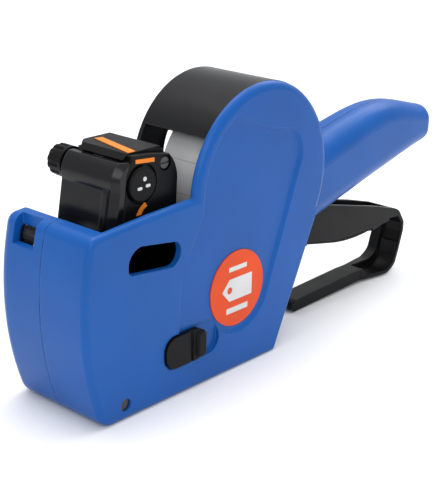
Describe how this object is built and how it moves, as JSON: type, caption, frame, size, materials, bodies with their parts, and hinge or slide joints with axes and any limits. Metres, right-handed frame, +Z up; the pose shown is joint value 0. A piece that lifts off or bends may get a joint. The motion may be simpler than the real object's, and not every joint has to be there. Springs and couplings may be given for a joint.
{
  "type": "price labeling gun",
  "caption": "Hand-held label gun with a swinging print head, covered label roll, squeeze lever under a handle, ink roller, feed wheel and drop-down floor.",
  "frame": {"origin": "on the flat base, mid-width, 55 mm behind the foremost point of the nose", "axes": "+Y from the nose to the handle, +Z up, +X towards the side with the roll disc"},
  "size_m": [0.0492, 0.2281, 0.1096],
  "materials": {
    "blue_shell": "satin moulded ABS",
    "black_plastic": "fine moulded texture",
    "gloss_black": "polished moulding",
    "black_steel": "blackened screws",
    "steel": "ground bar and wire",
    "label_paper": "wound label edges",
    "core_card": "pressed board",
    "orange_badge": "printed film",
    "white_print": "printed ink",
    "orange_index": "coloured insert",
    "band_rubber": "moulded rubber",
    "white_nylon": "natural nylon",
    "ink_foam": "inked foam"
  },
  "bodies": {
    "housing": {"left_shell": "blue_shell", "right_shell": "blue_shell", "side_frame": "black_plastic", "shell_screws": "black_steel", "badge": "orange_badge", "badge_marks": "white_print", "roll_hub": "black_plastic", "hub_cap": "black_plastic", "cover_pin": "steel", "lever_shaft": "steel", "lever_spring": "steel", "head_shaft": "steel", "head_clip": "steel", "platen_block": "black_plastic", "platen_pad": "band_rubber", "peel_plate": "steel", "label_guide": "black_plastic", "feed_shaft": "steel", "ink_pivot": "steel", "pawl_pin": "steel", "applicator_axle": "black_steel"},
    "cover": {"roll_cover": "gloss_black"},
    "roll": {"label_roll": "label_paper", "roll_core": "core_card"},
    "lever": {"hand_lever": "black_plastic", "drive_pin": "steel"},
    "print_head": {"head_arm": "black_plastic", "head_case": "black_plastic", "head_front_cover": "gloss_black", "head_side_plate": "black_plastic", "head_top_plate": "black_plastic", "range_strip": "orange_index", "side_tick": "orange_index", "pointer_mark": "orange_index", "side_cap": "black_plastic", "cap_marks": "white_print", "head_screws": "black_steel", "print_band_1": "band_rubber", "print_band_2": "band_rubber", "print_band_3": "band_rubber", "print_band_4": "band_rubber", "print_band_5": "band_rubber", "print_band_6": "band_rubber", "band_wheels": "white_nylon", "band_bar": "steel"},
    "carriage": {"pointer_carriage": "black_plastic"},
    "selector": {"selector_knob": "black_plastic", "selector_shaft": "steel"},
    "ink_swing": {"ink_arm": "black_plastic", "ink_axle": "steel"},
    "ink_drum": {"ink_roller": "ink_foam"},
    "feed": {"feed_wheel": "black_plastic", "ratchet_wheel": "black_plastic"},
    "pawl": {"feed_pawl": "black_plastic"},
    "applicator": {"applicator_roller": "band_rubber"},
    "floor_cover": {"bottom_cover": "black_plastic"},
    "latch": {"latch_slider": "black_plastic", "latch_leaf": "steel"}
  },
  "joints": [
    {"name": "lever_squeeze", "type": "hinge", "parent": "housing", "child": "lever", "pos_m": [0, 0.058, 0.04], "axis": [1, 0, 0], "range_deg": [0, 12], "stiffness_Nm_per_rad": 3, "springref_deg": -11.46},
    {"name": "head_swing", "type": "hinge", "parent": "housing", "child": "print_head", "pos_m": [-0.01, 0.044, 0.046], "axis": [1, 0, 0], "range_deg": [0, 19.1]},
    {"name": "ink_swing", "type": "hinge", "parent": "housing", "child": "ink_swing", "pos_m": [0, -0.047, 0.04], "axis": [1, 0, 0], "range_deg": [0, 3.6]},
    {"name": "ink_roller_spin", "type": "hinge", "parent": "ink_swing", "child": "ink_drum", "pos_m": [0, -0.0439, 0.062], "axis": [1, 0, 0], "continuous": true},
    {"name": "cover_hinge", "type": "hinge", "parent": "housing", "child": "cover", "pos_m": [0, 0.0674, 0.0876], "axis": [-1, 0, 0], "range_deg": [0, 80]},
    {"name": "roll_spin", "type": "hinge", "parent": "housing", "child": "roll", "pos_m": [0.008, 0.037, 0.0711], "axis": [1, 0, 0], "continuous": true},
    {"name": "selector_pull", "type": "slide", "parent": "print_head", "child": "carriage", "axis": [-1, 0, 0], "range_m": [0, 0.013]},
    {"name": "selector_turn", "type": "hinge", "parent": "carriage", "child": "selector", "pos_m": [-0.018, -0.0235, 0.0834], "axis": [1, 0, 0], "continuous": true},
    {"name": "feed_spin", "type": "hinge", "parent": "housing", "child": "feed", "pos_m": [0, -0.018, 0.015], "axis": [1, 0, 0], "continuous": true},
    {"name": "pawl_lift", "type": "hinge", "parent": "housing", "child": "pawl", "pos_m": [0.0105, -0.0024, 0.0226], "axis": [-1, 0, 0], "range_deg": [0, 12], "stiffness_Nm_per_rad": 0.01, "springref_deg": -11.46},
    {"name": "applicator_spin", "type": "hinge", "parent": "housing", "child": "applicator", "pos_m": [0, -0.0359, 0.0059], "axis": [1, 0, 0], "continuous": true},
    {"name": "bottom_cover_hinge", "type": "hinge", "parent": "housing", "child": "floor_cover", "pos_m": [0, -0.0359, 0.0059], "axis": [-1, 0, 0], "range_deg": [0, 70]},
    {"name": "latch_slide", "type": "slide", "parent": "housing", "child": "latch", "axis": [0, 1, 0], "range_m": [0, 0.005], "stiffness_N_per_m": 300, "springref_m": -0.002}
  ],
  "couplings": [
    {"joint": "head_swing", "follows": "lever_squeeze", "ratio": 1.5833},
    {"joint": "ink_swing", "follows": "lever_squeeze", "ratio": 0.2917}
  ]
}
